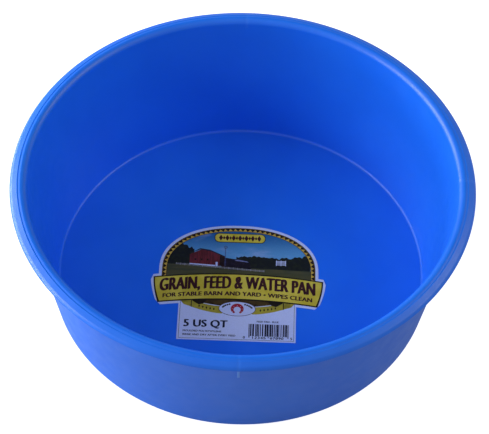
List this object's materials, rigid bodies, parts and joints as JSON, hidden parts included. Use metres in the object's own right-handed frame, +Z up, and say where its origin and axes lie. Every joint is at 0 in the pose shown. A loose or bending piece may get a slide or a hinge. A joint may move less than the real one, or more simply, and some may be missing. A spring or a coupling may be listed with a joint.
{
  "type": "feed pan",
  "caption": "Low, wide round feed pan for stable use: moulded plastic shell with a rolled rim, tapered wall, flat floor and a die-cut label inside.",
  "frame": {"origin": "centre of the base, on the surface that the pan stands on", "axes": "+Z up along the pan's axis; -Y towards the reader of the label, +X to the reader's right"},
  "size_m": [0.3, 0.3, 0.0995],
  "materials": {
    "pan_plastic": "injection-moulded blue polyethylene, satin to semi-gloss",
    "label_film": "printed self-adhesive film, satin"
  },
  "bodies": {
    "root": {"pan": "pan_plastic", "label": "label_film"}
  },
  "joints": []
}
